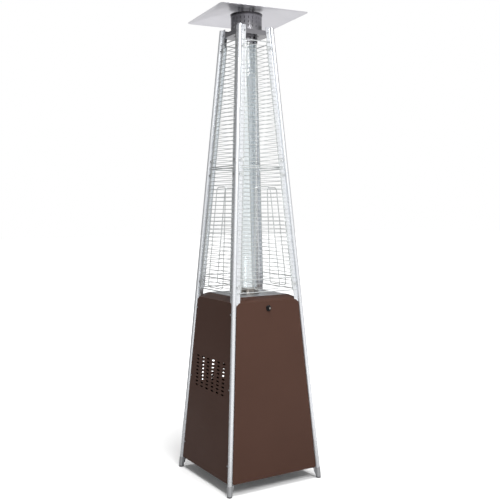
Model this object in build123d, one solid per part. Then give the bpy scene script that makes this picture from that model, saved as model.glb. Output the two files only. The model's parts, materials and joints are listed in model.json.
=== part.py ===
from build123d import *
import math
import os

os.makedirs("parts", exist_ok=True)

# A free-standing gas patio heater: a square pyramid of four leaning corner posts, a closed base with a
# tilting front door, a tall glass flame tube behind wire guards, and a flame screen under a reflector.
# The frame's origin is the centre of the base on the floor, +Z up, and the door faces -Y.

# Corner posts
base_half = 253.0
top_half = 88.0
post_top_z = 2204.0
post_radius = 11.0
post_wall = 1.5
fin_reach = 33.0
fin_start = 18.0
fin_thickness = 2.0
web_thickness = 1.0
fin_bottom_z = 61.5
lower_joint_z = 888.0
upper_joint_z = 1527.0
joint_sleeve_length = 60.0
joint_sleeve_clearance = 0.1

# Feet
foot_height = 52.0
foot_floor_z = 6.0
foot_seat_z = 14.0
foot_radius = 12.4
foot_bore_clearance = 0.15
gusset_thickness = 3.0
gusset_reach = 24.0
gusset_tip_height = 18.0
gusset_tip_width = 3.0
pad_radius = 12.0
pad_edge = 1.5
pad_peg_radius = 5.0
pad_peg_height = 5.0
peg_clearance = 0.1

# Base casing
sheet = 1.2
panel_bottom_z = 55.0
panel_top_z = 888.0
panel_edge_gap = 13.5
panel_bottom_clip = 5.0
panel_top_clip = 16.0
panel_flange = 12.0
panel_flange_end_gap = 1.5
panel_lid_clearance = 0.2
tray_z = 64.0
tray_sheet = 1.5
tray_flange = 14.0
post_clearance = 1.2

# Air slots of the fixed panels
slot_columns = 6
slot_rows = 9
slot_pitch_x = 53.0
slot_pitch_z = 18.2
slot_length = 26.0
slot_height = 8.5
slot_centre_z = 521.5

# Front door, hinged along its bottom edge
door_out = 5.0
door_edge_gap = 13.5
door_top_gap = 2.0
door_bottom_clip = 5.0
door_top_clip = 14.0
door_lip_gap = 0.3
door_flange_lid_gap = 0.4
door_stiffener_x = 138.0
door_stiffener_width = 22.0
door_stiffener_depth = 9.0
door_stiffener_margin = 30.0
hinge_z = 60.0
hinge_out = 0.4
hinge_inset = 46.0
hinge_pin_radius = 1.5
hinge_pin_head = 1.0
hinge_pin_head_radius = 2.3
hinge_clearance = 0.05
hinge_ear_radius = 3.0
hinge_ear_thickness = 3.0
hinge_ear_gap = 0.4
hinge_plate_width = 22.0
hinge_plate_bottom = 2.0
magnet_width = 34.0
magnet_height = 12.0
magnet_x = 96.0
magnet_gap = 0.3

# Screws
screw_radius = 2.5
screw_clearance = 0.05
screw_head_radius = 4.6
screw_head_height = 2.8
screw_head_edge = 0.9
screw_length = 9.0
screw_recess_width = 1.4
screw_recess_length = 5.0
screw_recess_depth = 1.2
panel_screw_inset = 21.0
panel_screw_count = 3
panel_screw_low_z = 136.5
panel_screw_pitch = 347.75
guard_screw_inset = 18.5
plate_screw_inset = 25.5

# Lid of the base
lid_top_z = 907.5
lid_top_half = 147.0
lid_opening_half = 132.0
lid_skirt = 22.0
lid_sheet = 1.5

# Burner deck and box
deck_half = 141.0
deck_sheet = 1.5
deck_bore_radius = 40.0
deck_hole_ring = 115.0
deck_hole_radius = 4.0
deck_hole_count = 24
box_half = 114.0
box_flange_half = 129.0
box_bottom_z = 786.0
box_floor_hole_radius = 45.0

# Burner head
burner_flange_radius = 62.0
burner_flange_sheet = 1.5
burner_cup_radius = 23.0
burner_cup_bore = 20.0
burner_cup_bottom_z = 892.0
burner_cup_top_z = 940.0
burner_cap_thickness = 3.0
burner_port_radius = 1.6
burner_port_count = 16
burner_port_rows = 3
burner_port_pitch = 7.0
venturi_radius = 13.0
venturi_wall = 2.0
venturi_bottom_z = 832.0
venturi_air_hole_radius = 5.0
venturi_air_hole_rise = 12.0
injector_radius = 8.0
injector_tip_radius = 3.0
injector_tip_height = 6.0
injector_bottom_z = 812.0
injector_body_height = 14.0
injector_bore_radius = 0.8

# Pilot, thermocouple and igniter beside the burner cup
pilot_x = -31.0
pilot_y = -11.0
pilot_radius = 4.0
pilot_collar_radius = 6.5
pilot_collar_height = 3.0
pilot_top_rise = 20.0
pilot_hood_height = 9.0
pilot_hood_radius = 6.0
pilot_slot_width = 3.0
probe_x = -12.0
probe_y = -31.0
probe_radius = 2.6
probe_tip_radius = 1.8
probe_collar_radius = 5.0
electrode_x = 20.0
electrode_y = -27.0
electrode_radius = 1.2
electrode_ceramic_radius = 3.4
service_stub = 12.0
service_clearance = 0.1

# Glass flame tube and its rings
glass_radius = 50.0
glass_wall = 2.5
glass_top_z = 2152.0
glass_clearance = 0.6
lower_ring_flange_radius = 66.0
lower_ring_flange = 2.0
lower_ring_wall = 3.0
lower_ring_height = 29.5
lower_ring_ledge_rise = 16.5
lower_ring_ledge = 2.0
lower_ring_ledge_bore = 44.0
air_slot_count = 12
air_slot_width = 16.0
air_slot_height = 9.5
air_slot_rise = 3.5
upper_ring_flange_radius = 62.0
upper_ring_flange = 1.5
upper_ring_spigot_wall = 1.5
upper_ring_spigot_length = 36.0
upper_collar_height = 27.0
upper_collar_slot_drop = 3.0

# Upper plate and flame screen
plate_z = 2164.0
plate_flange_top_z = 2187.0
plate_sheet = 1.5
plate_bore_radius = 44.0
plate_screw_z = 2176.0
screen_radius = 76.0
screen_sheet = 1.0
screen_foot_radius = 83.0
screen_top_z = 2264.0
screen_slot_width = 2.4
screen_slot_height = 12.0
screen_slot_rows = 3
screen_slot_columns = 24
screen_slot_low_z = 2206.0
screen_slot_pitch = 20.0
screen_seam_gap = 0.2
cap_clearance = 0.3
cap_sheet = 1.2
cap_top_z = 2272.5
cap_skirt = 10.0
cap_rim_radius = 79.0

# Reflector
reflector_half = 226.5
reflector_corner = 26.0
reflector_sheet = 1.2
reflector_flat_half = 62.0
reflector_flat_corner = 54.0
reflector_centre_z = 2293.0
reflector_edge_drop = 29.5
reflector_turn_deg = -6.0
stud_ring = 40.0
stud_count = 4
stud_radius = 3.0
stud_shoulder_radius = 5.0
stud_clearance = 0.1
stud_rise = 8.0
nut_radius = 5.5
nut_height = 4.0
washer_radius = 8.0
washer_sheet = 1.0

# Wire guards
guard_rod_radius = 2.5
guard_wire_radius = 1.4
guard_bar_radius = 2.6
guard_rod_inset = 36.0
guard_rod_out = 0.5
guard_wire_inset = 15.5
guard_wire_gap = 0.05
guard_pitch = 19.8
guard_bottom_z = 932.0
guard_second_bar_z = 993.0
guard_split_gap = 10.0
guard_top_z = 2132.0
guard_tab_height = 12.5
guard_tab_inset = 12.5
guard_tab_sheet = 1.5
loop_top_z = 1433.0
loop_bottom_z = 943.0
loop_top_half = 42.0
loop_bottom_half = 74.0
loop_corner = 18.0
loop_wire_radius = 2.0

# Gas valve, knob and pipes
knob_z = 853.0
knob_radius = 10.6
knob_grip_radius = 8.6
knob_out = 13.0
knob_back = 8.5
knob_edge = 1.2
knob_grip_step = 4.0
knob_bore_depth = 12.0
knob_travel = 3.5
knob_gap = 0.15
knob_flute_count = 12
knob_flute_radius = 1.1
knob_cap_radius = 4.8
knob_cap_out = 1.2
knob_cap_recess = 0.8
bezel_radius = 14.0
bezel_bore = 11.5
bezel_neck = 12.8
bezel_out = 3.0
bezel_edge = 1.0
bezel_back = 3.0
bezel_hole_clearance = 0.1
stem_radius = 3.0
stem_clearance = 0.05
stem_depth = 12.0
collar_radius = 7.0
collar_thickness = 2.5
valve_front_gap = 0.3
valve_neck_radius = 10.0
valve_neck_length = 14.0
valve_body_width = 40.0
valve_body_height = 46.0
valve_body_drop = 6.0
valve_cap_radius = 9.0
valve_cap_height = 6.0
outlet_radius = 7.0
outlet_reach = 9.0
outlet_bore = 3.0
inlet_radius = 7.0
inlet_hex_height = 9.0
inlet_barb_radius = 5.0
inlet_length = 26.0
inlet_barb_step = 1.0
inlet_bore = 2.5
pipe_radius = 4.0
pipe_bore = 3.0
pipe_bend = 14.0
pipe_drop_y = -58.0
pipe_low_z = 800.0
pilot_pipe_radius = 2.5
pilot_pipe_bore = 1.6
pilot_pipe_bend = 8.0
pilot_pipe_start_y = -148.0
probe_lead_radius = 1.5
probe_lead_bend = 12.0
probe_lead_drop = 6.0
pipe_hole_clearance = 1.5
tilt_switch_width = 30.0
tilt_switch_height = 24.0
tilt_switch_depth = 14.0
tilt_switch_z = 838.0
tilt_switch_edge = 2.0
tilt_switch_x = 78.0
tilt_ear_width = 8.0
tilt_ear_sheet = 2.0

# Shared by every cut that runs past what it cuts
overrun = 20.0

# Shares and counts that carry no size of their own
guard_tab_share = 1.5
front_left_turns = {"front_left": 0, "front_right": 90, "rear_right": 180, "rear_left": 270}
side_turns = {"front": 0, "right": 90, "rear": 180, "left": 270}

# Values worked out from those above
lean = (base_half - top_half) / post_top_z
slant = math.hypot(1, lean)
full_turn = 360
fin_out = fin_thickness / 2
panel_out = fin_out + sheet
deck_top_z = lid_top_z + deck_sheet
ring_foot_z = deck_top_z + burner_flange_sheet
glass_bottom_z = ring_foot_z + lower_ring_ledge_rise + lower_ring_ledge
door_top_z = panel_top_z - door_top_gap
lid_skirt_bottom_z = panel_top_z - lid_skirt
slab_side = 4 * base_half
lower_guard_high = upper_joint_z - guard_split_gap / 2
upper_guard_low = upper_joint_z + guard_split_gap / 2


def half_at(z):
    """Distance from the centre line to the plane of the post axes, at a height."""
    return base_half - lean * z


def slab(low, high):
    """Everything between two heights."""
    return Pos(0, 0, (low + high) / 2) * Box(slab_side, slab_side, high - low)


def ring(outer, inner, low, high):
    """A tube around the centre line, between two heights."""
    solid = Pos(0, 0, low) * extrude(Circle(outer) - Circle(inner), high - low)
    return solid


def rod(radius, low, high, x=0, y=0):
    """An upright rod between two heights."""
    return Pos(x, y, low) * extrude(Circle(radius), high - low)


def inside(out, low, high):
    """The space inside the four leaning faces moved outwards by out, between two heights."""
    low_half = half_at(low) + out * slant
    high_half = half_at(high) + out * slant
    bottom = Pos(0, 0, low) * Rectangle(2 * low_half, 2 * low_half)
    top = Pos(0, 0, high) * Rectangle(2 * high_half, 2 * high_half)
    return loft([bottom, top], ruled=True)


# The front face: x to the right, y up the slope, z outwards, with the post axes at z = 0
front_face = Plane(origin=(0, -base_half, 0), x_dir=(1, 0, 0), z_dir=(0, -1, lean))


def on_front(x, z, out):
    """A place on the front face, by its height and its distance outwards from the post axes."""
    return front_face.location * Pos(x, z * slant, out)


def on_side(side, shape):
    """A shape of the front face, carried round to another side."""
    return Rot(0, 0, side_turns[side]) * shape


def front_block(x_low, x_high, z_low, z_high, out_low, out_high):
    """A block square to the front face."""
    width = x_high - x_low
    height = (z_high - z_low) * slant
    middle = on_front((x_low + x_high) / 2, (z_low + z_high) / 2, (out_low + out_high) / 2)
    return middle * Box(width, height, out_high - out_low)


def face_outline(low, high, edge_gap, low_clip, high_clip):
    """The outline of a panel that narrows with the posts, with clipped corners."""

    def half_width(z):
        return half_at(z) - edge_gap

    corners = [
        (half_width(low) - low_clip, low),
        (half_width(low + low_clip), low + low_clip),
        (half_width(high - high_clip), high - high_clip),
        (half_width(high) - high_clip, high),
    ]
    right = [(x, z * slant) for x, z in corners]
    left = [(-x, y) for x, y in reversed(right)]
    return Polygon(*right, *left, align=None)


def post_axis_plane(fin_direction):
    """A plane square to the front left post's axis, with x along one of its fins."""
    return Plane(origin=(-base_half, -base_half, 0), x_dir=fin_direction, z_dir=(lean, lean, 1))


def along_post(profile, plane):
    """A profile run the whole length of the front left post."""
    length = post_top_z + 2 * overrun
    return plane * Pos(0, 0, -overrun) * extrude(profile, length * (1 + lean * lean) + overrun)


front_fin_plane = post_axis_plane((1 + lean**2, -(lean**2), -lean))
left_fin_plane = post_axis_plane((-(lean**2), 1 + lean**2, -lean))


def post_cylinder(radius, low, high):
    """A round bar on the front left post's axis, cut level at both ends."""
    return along_post(Circle(radius), front_fin_plane) & slab(low, high)


def fin(plane, outward):
    """One flat fin of a post: a thin web next to the tube and a thicker strip at its edge."""
    web_width = fin_start - post_radius + post_wall / 2
    web = Pos(fin_start - web_width / 2, outward * (web_thickness - fin_thickness) / 2)
    web_profile = web * Rectangle(web_width, web_thickness)
    strip_width = fin_reach - fin_start
    strip_profile = Pos(fin_start + strip_width / 2, 0) * Rectangle(strip_width, fin_thickness)
    return along_post(web_profile, plane) + along_post(strip_profile, plane)


# On the front fin's plane +y points inwards, and on the left fin's plane +y points outwards
whole_tube = along_post(Circle(post_radius) - Circle(post_radius - post_wall), front_fin_plane)
whole_fins = fin(front_fin_plane, -1) + fin(left_fin_plane, 1)

# The places of the screws on one face: distance in from the post axis, height, and how far out they seat
panel_screws = [
    (panel_screw_inset, panel_screw_low_z + panel_screw_pitch * index, panel_out)
    for index in range(panel_screw_count)
]


def guard_step(low, high):
    """The distance between a guard's level wires, as near the named pitch as whole steps allow."""
    return (high - low) / round((high - low) / guard_pitch)


def guard_screws(low, high):
    """A guard's screws stand midway between two wires, near its bottom and its top."""
    rise = guard_step(low, high) * guard_tab_share
    return [(guard_screw_inset, z, fin_out + guard_tab_sheet) for z in (low + rise, high - rise)]


lower_guard_screws = guard_screws(guard_bottom_z, lower_guard_high)
upper_guard_screws = guard_screws(upper_guard_low, guard_top_z)
plate_screws = [(plate_screw_inset, plate_screw_z, fin_out)]


def screws_on(side):
    """Every screw of one side: the front has no panel screws, because the door is there."""
    frame_screws = lower_guard_screws + upper_guard_screws + plate_screws
    return frame_screws if side == "front" else panel_screws + frame_screws


def screw_hole(sign, inset, z):
    """The hole for a screw through the front face, left or right."""
    hole = Cylinder(screw_radius + screw_clearance, 2 * overrun)
    return on_front(sign * (half_at(z) - inset), z, 0) * hole


def screw(sign, inset, z, seat):
    """A pan head screw with a cross recess, seated on the front face."""
    head = Pos(0, 0, screw_head_height / 2) * Cylinder(screw_head_radius, screw_head_height)
    head = chamfer(head.edges().sort_by(Axis.Z)[-1], screw_head_edge)
    shank = Pos(0, 0, -screw_length / 2) * Cylinder(screw_radius, screw_length)
    recess_place = Pos(0, 0, screw_head_height - screw_recess_depth / 2)
    recess = Box(screw_recess_length, screw_recess_width, screw_recess_depth)
    recess += Box(screw_recess_width, screw_recess_length, screw_recess_depth)
    solid = head + shank - recess_place * recess
    return on_front(sign * (half_at(z) - inset), z, seat) * solid


def post_segment(corner, low, high, fin_low):
    """One length of a corner post, with the holes that its fins need."""
    segment = (whole_tube & slab(low, high)) + (whole_fins & slab(fin_low, high))
    turn = front_left_turns[corner]
    sides = list(side_turns)
    # The front left post stands at the left end of the front and at the right end of the left side
    start = turn // 90
    own_side = sides[start % 4]
    next_side = sides[(start + 3) % 4]
    holes = []
    for inset, z, seat in screws_on(own_side):
        if low < z < high:
            holes.append(screw_hole(-1, inset, z))
    for inset, z, seat in screws_on(next_side):
        if low < z < high:
            holes.append(Rot(0, 0, side_turns["left"]) * screw_hole(1, inset, z))
    return Rot(0, 0, turn) * (segment - holes)


def joint_sleeves():
    """The short bars inside the tubes that join the three lengths of each post."""
    radius = post_radius - post_wall - joint_sleeve_clearance
    reach = joint_sleeve_length / 2
    bars = []
    for z in (lower_joint_z, upper_joint_z):
        bar = post_cylinder(radius, z - reach, z + reach)
        bars += [Rot(0, 0, turn) * bar for turn in front_left_turns.values()]
    return bars


def foot_cap():
    """The cast foot of the front left post, with a gusset under each fin."""
    body = post_cylinder(foot_radius, foot_floor_z, foot_height)
    tip = half_at(gusset_tip_height) - foot_radius - gusset_tip_width
    root = half_at(foot_height) - foot_radius / 2
    gusset = Polygon(
        (-root, foot_height * slant),
        (-(half_at(foot_height) - gusset_reach), foot_height * slant),
        (-tip, gusset_tip_height * slant),
        (-half_at(gusset_tip_height), gusset_tip_height * slant),
        align=None,
    )
    wing = extrude(on_front(0, 0, -gusset_thickness / 2) * gusset, gusset_thickness)
    mirrored = mirror(wing, about=Plane.YZ)
    body += wing
    body += Rot(0, 0, side_turns["left"]) * mirrored
    body &= slab(foot_floor_z, foot_height)
    body -= post_cylinder(post_radius + foot_bore_clearance, foot_seat_z, foot_height + overrun)
    peg = half_at(foot_floor_z)
    body -= rod(pad_peg_radius + peg_clearance, 0, foot_floor_z + pad_peg_height + peg_clearance, -peg, -peg)
    return body


def foot_pad():
    """The rubber pad under the front left foot."""
    place = half_at(foot_floor_z)
    disc = Pos(-place, -place, foot_floor_z / 2) * Cylinder(pad_radius, foot_floor_z)
    disc = chamfer(disc.edges().group_by(Axis.Z)[0], pad_edge)
    return disc + rod(pad_peg_radius, foot_floor_z, foot_floor_z + pad_peg_height, -place, -place)


def four(shape):
    """A front left corner piece at all four corners."""
    return [Rot(0, 0, turn) * shape for turn in front_left_turns.values()]


def post_notches(low, high):
    """The room that sheets leave for the four tubes."""
    return four(post_cylinder(post_radius + post_clearance, low, high))


def base_plate():
    """The floor of the base: a tray whose flanges stand against the fins."""
    top = tray_z + tray_flange
    tray = inside(-fin_out, tray_z, top) - inside(-fin_out - tray_sheet, tray_z + tray_sheet, top)
    return tray - post_notches(tray_z - overrun, top + overrun)


def panel(side):
    """A fixed side panel: a folded sheet with air slots, screwed to the fins."""
    outline = face_outline(panel_bottom_z, panel_top_z, panel_edge_gap, panel_bottom_clip, panel_top_clip)
    for column in range(slot_columns):
        x = (column - (slot_columns - 1) / 2) * slot_pitch_x
        for row in range(slot_rows):
            z = slot_centre_z + (row - (slot_rows - 1) / 2) * slot_pitch_z
            outline -= Pos(x, z * slant) * SlotOverall(slot_length, slot_height)
    skin = on_front(0, 0, fin_out) * extrude(outline, sheet)
    low_half = half_at(panel_bottom_z) - fin_reach - panel_flange_end_gap
    low_flange_half = min(low_half, half_at(panel_bottom_z) - panel_edge_gap - panel_bottom_clip)
    skin += front_block(
        -low_flange_half, low_flange_half,
        panel_bottom_z, panel_bottom_z + sheet,
        fin_out - panel_flange, fin_out + sheet / 2,
    )
    high_half = half_at(panel_top_z) - fin_reach - panel_flange_end_gap
    skin += front_block(
        -high_half, high_half,
        panel_top_z - sheet, panel_top_z,
        panel_lid_clearance - fin_out, fin_out + sheet / 2,
    )
    holes = [screw_hole(sign, inset, z) for inset, z, seat in panel_screws for sign in (-1, 1)]
    return on_side(side, skin - holes)


def hinge_axis(x, length, radius):
    """A cylinder on the door's hinge axis, from x along the axis."""
    place = on_front(x + length / 2, hinge_z, hinge_out)
    return place * Rot(0, 90, 0) * Cylinder(radius, length)


hinge_x = half_at(hinge_z) - hinge_inset
door_ear_x = hinge_x - hinge_ear_thickness - hinge_ear_gap


def front_door():
    """The door: a folded tray with two hat stiffeners, hinge ears and a top flange."""
    low, high = panel_bottom_z, door_top_z
    outer = face_outline(low, high, door_edge_gap, door_bottom_clip, door_top_clip)
    inner = face_outline(
        low + sheet, high - sheet, door_edge_gap + sheet,
        door_bottom_clip - sheet / 2, door_top_clip - sheet / 2,
    )
    lip = fin_out + door_lip_gap
    skin = on_front(0, 0, lip) * extrude(outer, door_out - lip)
    skin -= on_front(0, 0, lip) * extrude(inner, door_out - lip - sheet)
    back = door_out - sheet
    reach = door_stiffener_width / 2
    for sign in (-1, 1):
        middle = sign * door_stiffener_x
        hat_low = low + door_stiffener_margin
        hat_high = high - door_stiffener_margin
        hat = front_block(
            middle - reach, middle + reach, hat_low, hat_high, back - door_stiffener_depth, back + sheet / 2
        )
        hollow = front_block(
            middle - reach + sheet, middle + reach - sheet,
            hat_low - sheet, hat_high + sheet,
            back - door_stiffener_depth + sheet, back,
        )
        skin += hat - hollow
    flange_half = half_at(high) - fin_reach - panel_flange_end_gap
    skin += front_block(
        -flange_half, flange_half, high - sheet, high, door_flange_lid_gap - fin_out, door_out - sheet / 2
    )
    for sign in (-1, 1):
        ear = hinge_axis(door_ear_x, hinge_ear_thickness, hinge_ear_radius)
        ear += front_block(
            door_ear_x, door_ear_x + hinge_ear_thickness,
            hinge_z, hinge_z + 2 * hinge_ear_radius,
            hinge_out, door_out - sheet / 2,
        )
        ear &= front_block(
            door_ear_x, door_ear_x + hinge_ear_thickness,
            hinge_z - 2 * hinge_ear_radius, hinge_z + 2 * hinge_ear_radius,
            hinge_out - 2 * hinge_ear_radius, door_out - sheet / 2,
        )
        ear -= hinge_axis(door_ear_x - overrun, 2 * overrun, hinge_pin_radius + hinge_clearance)
        skin += ear if sign > 0 else mirror(ear, about=Plane.YZ)
    hole = Cylinder(bezel_neck + bezel_hole_clearance, overrun)
    return skin - on_front(0, knob_z, door_out) * hole


def hinge_bracket():
    """The right hinge bracket: a plate on the tray's front flange with one ear."""
    ear = hinge_axis(hinge_x, hinge_ear_thickness, hinge_ear_radius)
    ear += front_block(
        hinge_x, hinge_x + hinge_ear_thickness,
        hinge_z, tray_z + tray_flange,
        -fin_out, hinge_out + hinge_ear_radius / 2,
    )
    plate = front_block(
        hinge_x - hinge_plate_width / 2, hinge_x + hinge_plate_width / 2,
        tray_z + hinge_plate_bottom, tray_z + tray_flange,
        -fin_out, -fin_out + sheet,
    )
    ear &= front_block(
        hinge_x, hinge_x + hinge_ear_thickness,
        hinge_z - 2 * hinge_ear_radius, tray_z + tray_flange,
        -fin_out, door_out - sheet - hinge_ear_gap,
    )
    hole = hinge_axis(hinge_x - overrun, 2 * overrun, hinge_pin_radius + hinge_clearance)
    return ear + plate - hole


def hinge_pin():
    """The right hinge pin, headed at both ends outside its two ears."""
    low = door_ear_x - hinge_ear_gap
    high = hinge_x + hinge_ear_thickness + hinge_ear_gap
    pin = hinge_axis(low, high - low, hinge_pin_radius)
    pin += hinge_axis(low - hinge_pin_head, hinge_pin_head, hinge_pin_head_radius)
    pin += hinge_axis(high, hinge_pin_head, hinge_pin_head_radius)
    return pin


def both(shape):
    """A right hand piece and its mirror image on the left."""
    return [shape, mirror(shape, about=Plane.YZ)]


def door_magnets():
    """The two magnetic catches on the lid's front skirt that hold the door shut."""
    middle = panel_top_z - lid_skirt / 2
    block = front_block(
        magnet_x - magnet_width / 2, magnet_x + magnet_width / 2,
        middle - magnet_height / 2, middle + magnet_height / 2,
        -fin_out, door_out - sheet - magnet_gap,
    )
    return both(block)


def top_lid():
    """The hipped lid of the base, with a skirt inside the fins and an opening for the deck."""
    foot_half = half_at(panel_top_z) - fin_out * slant
    run = foot_half - lid_top_half
    rise = lid_top_z - panel_top_z
    side_step = sheet * math.hypot(run, rise) / rise

    def hip(low_half, high_half, top_z):
        bottom = Pos(0, 0, panel_top_z) * Rectangle(2 * low_half, 2 * low_half)
        top = Pos(0, 0, top_z) * Rectangle(2 * high_half, 2 * high_half)
        return loft([bottom, top], ruled=True)

    inner_top_z = lid_top_z - lid_sheet
    inner_foot = foot_half - side_step
    inner_top = inner_foot - run / rise * (inner_top_z - panel_top_z)
    shell = hip(foot_half, lid_top_half, lid_top_z) - hip(inner_foot, inner_top, inner_top_z)
    skirt = inside(-fin_out, lid_skirt_bottom_z, panel_top_z)
    skirt -= inside(-fin_out - lid_sheet, lid_skirt_bottom_z, panel_top_z)
    shell += skirt
    opening = Box(2 * lid_opening_half, 2 * lid_opening_half, 2 * overrun)
    shell -= Pos(0, 0, lid_top_z) * opening
    return shell - post_notches(lid_skirt_bottom_z - overrun, lid_top_z + overrun)


def burner_deck():
    """The steel deck on the lid, with a ring of air holes."""
    face = Rectangle(2 * deck_half, 2 * deck_half) - Circle(deck_bore_radius)
    for index in range(deck_hole_count):
        turn = Rot(0, 0, full_turn * index / deck_hole_count)
        face -= turn * Pos(deck_hole_ring, 0) * Circle(deck_hole_radius)
    return Pos(0, 0, lid_top_z) * extrude(face, deck_sheet)


def burner_box():
    """The sheet steel box that hangs under the deck and shields the burner's gas parts."""
    height = lid_top_z - box_bottom_z
    middle = Pos(0, 0, box_bottom_z + height / 2)
    outside = middle * Box(2 * box_half, 2 * box_half, height)
    within = 2 * (box_half - sheet)
    hollow = Pos(0, 0, box_bottom_z + sheet + height / 2) * Box(within, within, height)
    flange = Pos(0, 0, lid_top_z - sheet / 2) * Box(2 * box_flange_half, 2 * box_flange_half, sheet)
    shell = outside + flange - hollow
    shell -= rod(box_floor_hole_radius, box_bottom_z - overrun, box_bottom_z + overrun)
    front = -box_half
    for x, z, radius in (
        (0, outlet_z, outlet_radius + stem_clearance),
        (probe_x, probe_lead_z, probe_lead_radius + pipe_hole_clearance),
        (pilot_x, pilot_pipe_z, pilot_pipe_radius + pipe_hole_clearance),
    ):
        shell -= Pos(x, front, z) * Rot(90, 0, 0) * Cylinder(radius, overrun)
    return shell


def burner_head():
    """The cast burner: a flange over the deck's bore, a ported cup and a venturi below it."""
    body = rod(burner_flange_radius, deck_top_z, ring_foot_z)
    body += rod(burner_cup_radius, burner_cup_bottom_z, burner_cup_top_z)
    body += rod(venturi_radius, venturi_bottom_z, burner_cup_bottom_z)
    wall = burner_cup_radius - burner_cup_bore
    body -= rod(burner_cup_bore, burner_cup_bottom_z + wall, burner_cup_top_z - burner_cap_thickness)
    body -= rod(venturi_radius - venturi_wall, venturi_bottom_z - overrun, burner_cup_bottom_z + 2 * wall)
    port = Pos(burner_cup_radius, 0) * Rot(0, 90, 0) * Cylinder(burner_port_radius, 3 * wall)
    port_step = full_turn / burner_port_count
    ports = []
    for row in range(burner_port_rows):
        z = burner_cup_top_z - burner_cap_thickness - burner_port_pitch * (row + 1 / 2)
        for index in range(burner_port_count):
            ports.append(Pos(0, 0, z) * Rot(0, 0, port_step * (index + row / 2)) * port)
    body -= ports
    air = Cylinder(venturi_air_hole_radius, 3 * venturi_radius)
    for turn in (0, 90):
        body -= Pos(0, 0, venturi_bottom_z + venturi_air_hole_rise) * Rot(0, 0, turn) * Rot(0, 90, 0) * air
    for x, y, radius in (
        (pilot_x, pilot_y, pilot_radius),
        (probe_x, probe_y, probe_radius),
        (electrode_x, electrode_y, electrode_ceramic_radius),
    ):
        body -= rod(radius + service_clearance, deck_top_z - overrun, ring_foot_z + overrun, x, y)
    return body


def burner_injector():
    """The brass jet on the end of the supply pipe, under the venturi."""
    top = injector_bottom_z + injector_body_height
    body = Pos(0, 0, injector_bottom_z) * extrude(RegularPolygon(injector_radius, 6), injector_body_height)
    body += rod(injector_tip_radius, top, top + injector_tip_height)
    return body - rod(injector_bore_radius, injector_bottom_z - overrun, top + overrun)


def service_piece(x, y, radius, collar_radius, top_rise):
    """The shank and seating collar shared by the three pieces beside the burner cup."""
    piece = rod(radius, ring_foot_z - service_stub, ring_foot_z + top_rise, x, y)
    return piece + rod(collar_radius, ring_foot_z, ring_foot_z + pilot_collar_height, x, y)


def pilot_hood():
    """The pilot burner, with a slotted hood."""
    piece = service_piece(pilot_x, pilot_y, pilot_radius, pilot_collar_radius, pilot_top_rise)
    top = ring_foot_z + pilot_top_rise
    hood = rod(pilot_hood_radius, top - pilot_hood_height, top, pilot_x, pilot_y)
    slot = Pos(pilot_x, pilot_y, top) * Box(3 * pilot_hood_radius, pilot_slot_width, pilot_hood_height)
    return piece + hood - slot


def thermocouple():
    """The flame sensor with its stiff copper lead, which bends back to the valve."""
    piece = service_piece(probe_x, probe_y, probe_radius, probe_collar_radius, pilot_hood_height)
    tip_top = ring_foot_z + pilot_top_rise
    piece += rod(probe_tip_radius, ring_foot_z, tip_top, probe_x, probe_y)
    start = ring_foot_z - service_stub
    route = FilletPolyline(
        (probe_x, probe_y, start),
        (probe_x, probe_y, probe_lead_z),
        (probe_x, -box_half, probe_lead_z),
        radius=probe_lead_bend,
    )
    return piece + sweep(Plane(route @ 0, z_dir=route % 0) * Circle(probe_lead_radius), route)


def igniter_electrode():
    """The spark electrode in its ceramic sleeve."""
    radius = electrode_ceramic_radius
    piece = service_piece(electrode_x, electrode_y, radius, radius * 3 / 2, pilot_hood_height)
    return piece + rod(electrode_radius, ring_foot_z, ring_foot_z + pilot_top_rise, electrode_x, electrode_y)


# The valve's own frame stands on the door's outer face at the knob, with +z outwards along the stem
knob_place = on_front(0, knob_z, door_out)
outlet_z = knob_z
probe_lead_z = knob_z + probe_lead_drop
pilot_pipe_z = knob_z
collar_front = -knob_back - knob_gap
valve_front = collar_front - collar_thickness - knob_travel - valve_front_gap


def valve_depth():
    """From the valve's front face back past the burner box's front wall."""
    return half_at(knob_z) + door_out + overrun


def gas_valve():
    """The valve body: a neck around the stem, a block and a rear union, seated on the burner box."""
    depth = valve_depth()
    body = Pos(0, 0, valve_front - valve_neck_length / 2) * Cylinder(valve_neck_radius, valve_neck_length)
    block_front = valve_front - valve_neck_length / 2
    block = Box(valve_body_width, valve_body_height, depth)
    block = chamfer(block.edges().filter_by(Axis.Z), valve_neck_radius / 3)
    body += Pos(0, -valve_body_drop, block_front - depth / 2) * block
    cap_middle = block_front - valve_body_width / 2
    cap_place = Pos(0, valve_body_height / 2 - valve_body_drop, cap_middle) * Rot(90, 0, 0)
    body += cap_place * Cylinder(valve_cap_radius, 2 * valve_cap_height)
    body = knob_place * body
    wall = Pos(0, -box_half + slab_side / 2, knob_z) * Box(slab_side, slab_side, slab_side)
    body -= wall
    union = Pos(0, -box_half, outlet_z) * Rot(90, 0, 0) * Cylinder(outlet_radius, 2 * outlet_reach)
    body += union
    body -= Pos(0, -box_half, outlet_z) * Rot(90, 0, 0) * Cylinder(outlet_bore, 2 * outlet_reach + sheet)
    stem_hole_depth = stem_depth + knob_travel + stem_clearance
    bore = Cylinder(stem_radius + stem_clearance, 2 * stem_hole_depth)
    return body - knob_place * Pos(0, 0, valve_front) * bore


def valve_stem():
    """The round stem that the knob turns and pushes."""
    low = valve_front - stem_depth
    high = knob_bore_depth - knob_back
    return knob_place * Pos(0, 0, (low + high) / 2) * Cylinder(stem_radius, high - low)


def thrust_collar():
    """The ring behind the knob that slides in with it and doesn't turn."""
    middle = collar_front - collar_thickness / 2
    solid = Cylinder(collar_radius, collar_thickness) - Cylinder(stem_radius + stem_clearance, overrun)
    return knob_place * Pos(0, 0, middle) * solid


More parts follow.
